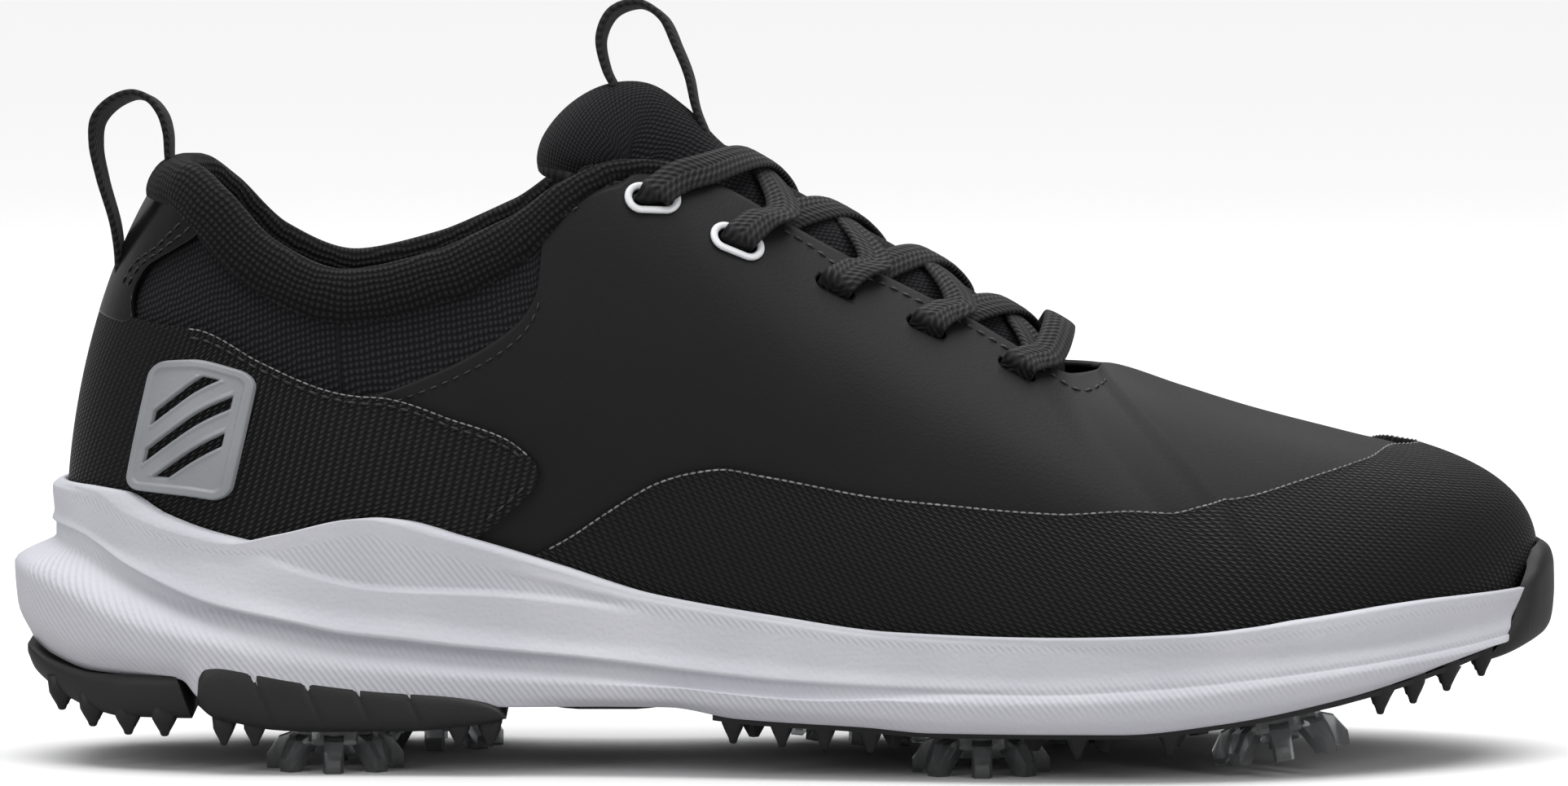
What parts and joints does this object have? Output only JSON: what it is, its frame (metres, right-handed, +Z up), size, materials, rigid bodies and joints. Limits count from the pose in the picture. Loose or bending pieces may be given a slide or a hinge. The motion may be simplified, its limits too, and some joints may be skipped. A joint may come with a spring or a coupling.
{
  "type": "golf shoe",
  "caption": "Low-cut laced golf shoe for the right foot, sculpted foam midsole, black rubber outsole pieces and soft twist-lock cleats.",
  "frame": {"origin": "middle of the shoe's box in plan, at the ground under the cleats", "axes": "+X towards the toe, +Y towards the other foot, +Z up"},
  "size_m": [0.302, 0.1088, 0.1482],
  "materials": {
    "foam": "moulded foam, satin, pale lavender",
    "rubber_black": "black moulded rubber, matt",
    "shank": "black moulded plate",
    "board": "stitched board",
    "insole_fabric": "knitted cover on foam",
    "lining_fabric": "spacer mesh",
    "stiffener": "moulded stiffener",
    "skin": "smooth matt microfibre",
    "knit": "ribbed knit",
    "overlay": "fine woven emboss, glossy",
    "patent": "smooth glossy film",
    "badge": "raised moulding, silver grey",
    "webbing": "woven tape",
    "lace": "flat woven lace",
    "cleat_seat": "moulded seat",
    "cleat": "soft translucent smoke grey",
    "ring": "white moulded ring"
  },
  "bodies": {
    "shoe": {"cleat_seat_1": "cleat_seat", "cleat_seat_2": "cleat_seat", "cleat_seat_3": "cleat_seat", "cleat_seat_4": "cleat_seat", "cleat_seat_5": "cleat_seat", "cleat_seat_6": "cleat_seat", "cleat_seat_7": "cleat_seat", "outsole_rear": "rubber_black", "outsole_heel_outer": "rubber_black", "outsole_heel_inner": "rubber_black", "outsole_forefoot": "rubber_black", "shank_plate": "shank", "midsole": "foam", "toe_bumper": "rubber_black", "strobel_board": "board", "insole": "insole_fabric", "lining": "lining_fabric", "heel_counter": "stiffener", "toe_puff": "stiffener", "main_upper": "skin", "ankle_fabric": "knit", "toe_guard": "overlay", "heel_overlay": "overlay", "heel_tab": "patent", "heel_badge_outer": "badge", "heel_badge_inner": "badge", "collar_roll": "knit", "tongue_body": "knit", "heel_loop": "webbing", "lace": "lace", "lace_ring_outer_1": "ring", "lace_ring_outer_2": "ring", "lace_ring_inner_1": "ring", "lace_ring_inner_2": "ring"},
    "cleat_1_body": {"cleat_1": "cleat"},
    "cleat_2_body": {"cleat_2": "cleat"},
    "cleat_3_body": {"cleat_3": "cleat"},
    "cleat_4_body": {"cleat_4": "cleat"},
    "cleat_5_body": {"cleat_5": "cleat"},
    "cleat_6_body": {"cleat_6": "cleat"},
    "cleat_7_body": {"cleat_7": "cleat"},
    "tongue_upper": {"tongue_top": "knit", "tongue_loop": "webbing"}
  },
  "joints": [
    {"name": "cleat_1_twist", "type": "hinge", "parent": "shoe", "child": "cleat_1_body", "pos_m": [-0.0874, -0.02057, 0.0083], "axis": [0, 0, -1], "range_deg": [0, 60]},
    {"name": "cleat_2_twist", "type": "hinge", "parent": "shoe", "child": "cleat_2_body", "pos_m": [0.038, -0.02857, 0.0083], "axis": [0, 0, -1], "range_deg": [0, 60]},
    {"name": "cleat_3_twist", "type": "hinge", "parent": "shoe", "child": "cleat_3_body", "pos_m": [0.095, -0.02857, 0.01163], "axis": [0.1558, 0, -0.9878], "range_deg": [0, 60]},
    {"name": "cleat_4_twist", "type": "hinge", "parent": "shoe", "child": "cleat_4_body", "pos_m": [-0.069, 0.02143, 0.0083], "axis": [0, 0, -1], "range_deg": [0, 60]},
    {"name": "cleat_5_twist", "type": "hinge", "parent": "shoe", "child": "cleat_5_body", "pos_m": [0.015, 0.02343, 0.0092], "axis": [-0.0651, 0, -0.9979], "range_deg": [0, 60]},
    {"name": "cleat_6_twist", "type": "hinge", "parent": "shoe", "child": "cleat_6_body", "pos_m": [0.054, 0.03243, 0.0083], "axis": [0, 0, -1], "range_deg": [0, 60]},
    {"name": "cleat_7_twist", "type": "hinge", "parent": "shoe", "child": "cleat_7_body", "pos_m": [0.089, 0.03443, 0.01073], "axis": [0.1369, 0, -0.9906], "range_deg": [0, 60]},
    {"name": "tongue_fold", "type": "hinge", "parent": "shoe", "child": "tongue_upper", "pos_m": [-0.0124, -0.00027, 0.1194], "axis": [0, 1, 0], "range_deg": [0, 30], "stiffness_Nm_per_rad": 0.15}
  ]
}
